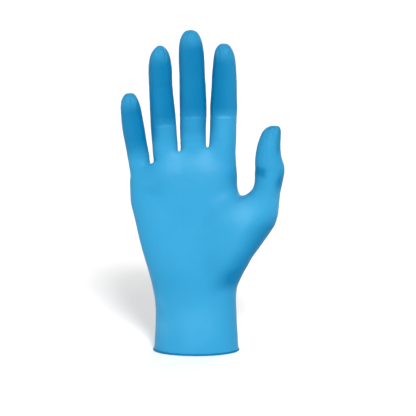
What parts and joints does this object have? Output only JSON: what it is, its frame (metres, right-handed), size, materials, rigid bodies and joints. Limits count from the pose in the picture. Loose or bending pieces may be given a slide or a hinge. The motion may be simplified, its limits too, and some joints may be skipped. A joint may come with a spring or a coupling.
{
  "type": "disposable glove",
  "caption": "Thin dipped nitrile glove holding the shape of an open right hand, folding at the wrist, knuckles, fingers and thumb, with a rolled cuff bead.",
  "frame": {"origin": "centre of the cuff opening, on the surface that the rolled bead stands on", "axes": "+Z from the cuff up the fingers, +X to the thumb side, -Y the palm side"},
  "size_m": [0.1211, 0.0482, 0.2404],
  "materials": {
    "film": "satin thin nitrile film",
    "finger_film": "satin nitrile film, a little deeper in colour",
    "bead": "satin rolled film"
  },
  "bodies": {
    "cuff": {"cuff_bead": "bead", "cuff_sleeve": "film"},
    "palm": {"palm": "film", "thumb_root": "film"},
    "knuckles": {"knuckle_band": "film", "index_root": "film", "middle_root": "film", "ring_root": "film", "little_root": "film"},
    "index_base": {"index_base": "finger_film"},
    "index_middle": {"index_middle": "finger_film"},
    "index_tip": {"index_tip": "finger_film"},
    "middle_base": {"middle_base": "finger_film"},
    "middle_middle": {"middle_middle": "finger_film"},
    "middle_tip": {"middle_tip": "finger_film"},
    "ring_base": {"ring_base": "finger_film"},
    "ring_middle": {"ring_middle": "finger_film"},
    "ring_tip": {"ring_tip": "finger_film"},
    "little_base": {"little_base": "finger_film"},
    "little_middle": {"little_middle": "finger_film"},
    "little_tip": {"little_tip": "finger_film"},
    "thumb_base": {"thumb_base": "film"},
    "thumb_tip": {"thumb_tip": "film"}
  },
  "joints": [
    {"name": "wrist_fold", "type": "hinge", "parent": "cuff", "child": "palm", "pos_m": [0, 0, 0.04], "axis": [1, 0, 0], "range_deg": [-50, 60]},
    {"name": "knuckle_fold", "type": "hinge", "parent": "palm", "child": "knuckles", "pos_m": [-0.002, 0.0005, 0.124], "axis": [0.9659, 0, 0.2588], "range_deg": [-20, 55]},
    {"name": "index_root_fold", "type": "hinge", "parent": "knuckles", "child": "index_base", "pos_m": [0.0194, 0.0005, 0.158], "axis": [0.9999, 0, -0.014], "range_deg": [-10, 30]},
    {"name": "index_middle_fold", "type": "hinge", "parent": "index_base", "child": "index_middle", "pos_m": [0.01964, 0.0005, 0.1749], "axis": [0.9999, 0, -0.014], "range_deg": [0, 80]},
    {"name": "index_tip_fold", "type": "hinge", "parent": "index_middle", "child": "index_tip", "pos_m": [0.02004, -0.00251, 0.20354], "axis": [0.9999, 0, -0.014], "range_deg": [0, 48]},
    {"name": "middle_root_fold", "type": "hinge", "parent": "knuckles", "child": "middle_base", "pos_m": [-0.0021, 0.0005, 0.158], "axis": [0.9997, 0, 0.0227], "range_deg": [-10, 30]},
    {"name": "middle_middle_fold", "type": "hinge", "parent": "middle_base", "child": "middle_middle", "pos_m": [-0.00248, 0.0005, 0.1749], "axis": [0.9997, 0, 0.0227], "range_deg": [0, 80]},
    {"name": "middle_tip_fold", "type": "hinge", "parent": "middle_middle", "child": "middle_tip", "pos_m": [-0.00324, -0.00298, 0.208], "axis": [0.9997, 0, 0.0227], "range_deg": [0, 48]},
    {"name": "ring_root_fold", "type": "hinge", "parent": "knuckles", "child": "ring_base", "pos_m": [-0.0228, 0.0005, 0.1543], "axis": [0.9984, 0, 0.0558], "range_deg": [-10, 30]},
    {"name": "ring_middle_fold", "type": "hinge", "parent": "ring_base", "child": "ring_middle", "pos_m": [-0.02353, 0.0005, 0.16738], "axis": [0.9984, 0, 0.0558], "range_deg": [0, 80]},
    {"name": "ring_tip_fold", "type": "hinge", "parent": "ring_middle", "child": "ring_tip", "pos_m": [-0.02527, -0.00277, 0.19846], "axis": [0.9984, 0, 0.0558], "range_deg": [0, 48]},
    {"name": "little_root_fold", "type": "hinge", "parent": "knuckles", "child": "little_base", "pos_m": [-0.0424, 0.0005, 0.1452], "axis": [0.9907, 0, 0.1357], "range_deg": [-10, 30]},
    {"name": "little_middle_fold", "type": "hinge", "parent": "little_base", "child": "little_middle", "pos_m": [-0.04389, 0.0005, 0.1561], "axis": [0.9907, 0, 0.1357], "range_deg": [0, 80]},
    {"name": "little_tip_fold", "type": "hinge", "parent": "little_middle", "child": "little_tip", "pos_m": [-0.04646, -0.00149, 0.17482], "axis": [0.9907, 0, 0.1357], "range_deg": [0, 48]},
    {"name": "thumb_base_fold", "type": "hinge", "parent": "palm", "child": "thumb_base", "pos_m": [0.0519, -0.014, 0.121], "axis": [-0.6357, 0.766, 0.095], "range_deg": [-35, 10]},
    {"name": "thumb_tip_fold", "type": "hinge", "parent": "thumb_base", "child": "thumb_tip", "pos_m": [0.05456, -0.014, 0.1388], "axis": [-0.6357, 0.766, 0.095], "range_deg": [-65, 10]}
  ],
  "couplings": [
    {"joint": "index_tip_fold", "follows": "index_middle_fold", "ratio": 0.6},
    {"joint": "middle_tip_fold", "follows": "middle_middle_fold", "ratio": 0.6},
    {"joint": "ring_tip_fold", "follows": "ring_middle_fold", "ratio": 0.6},
    {"joint": "little_tip_fold", "follows": "little_middle_fold", "ratio": 0.6}
  ]
}
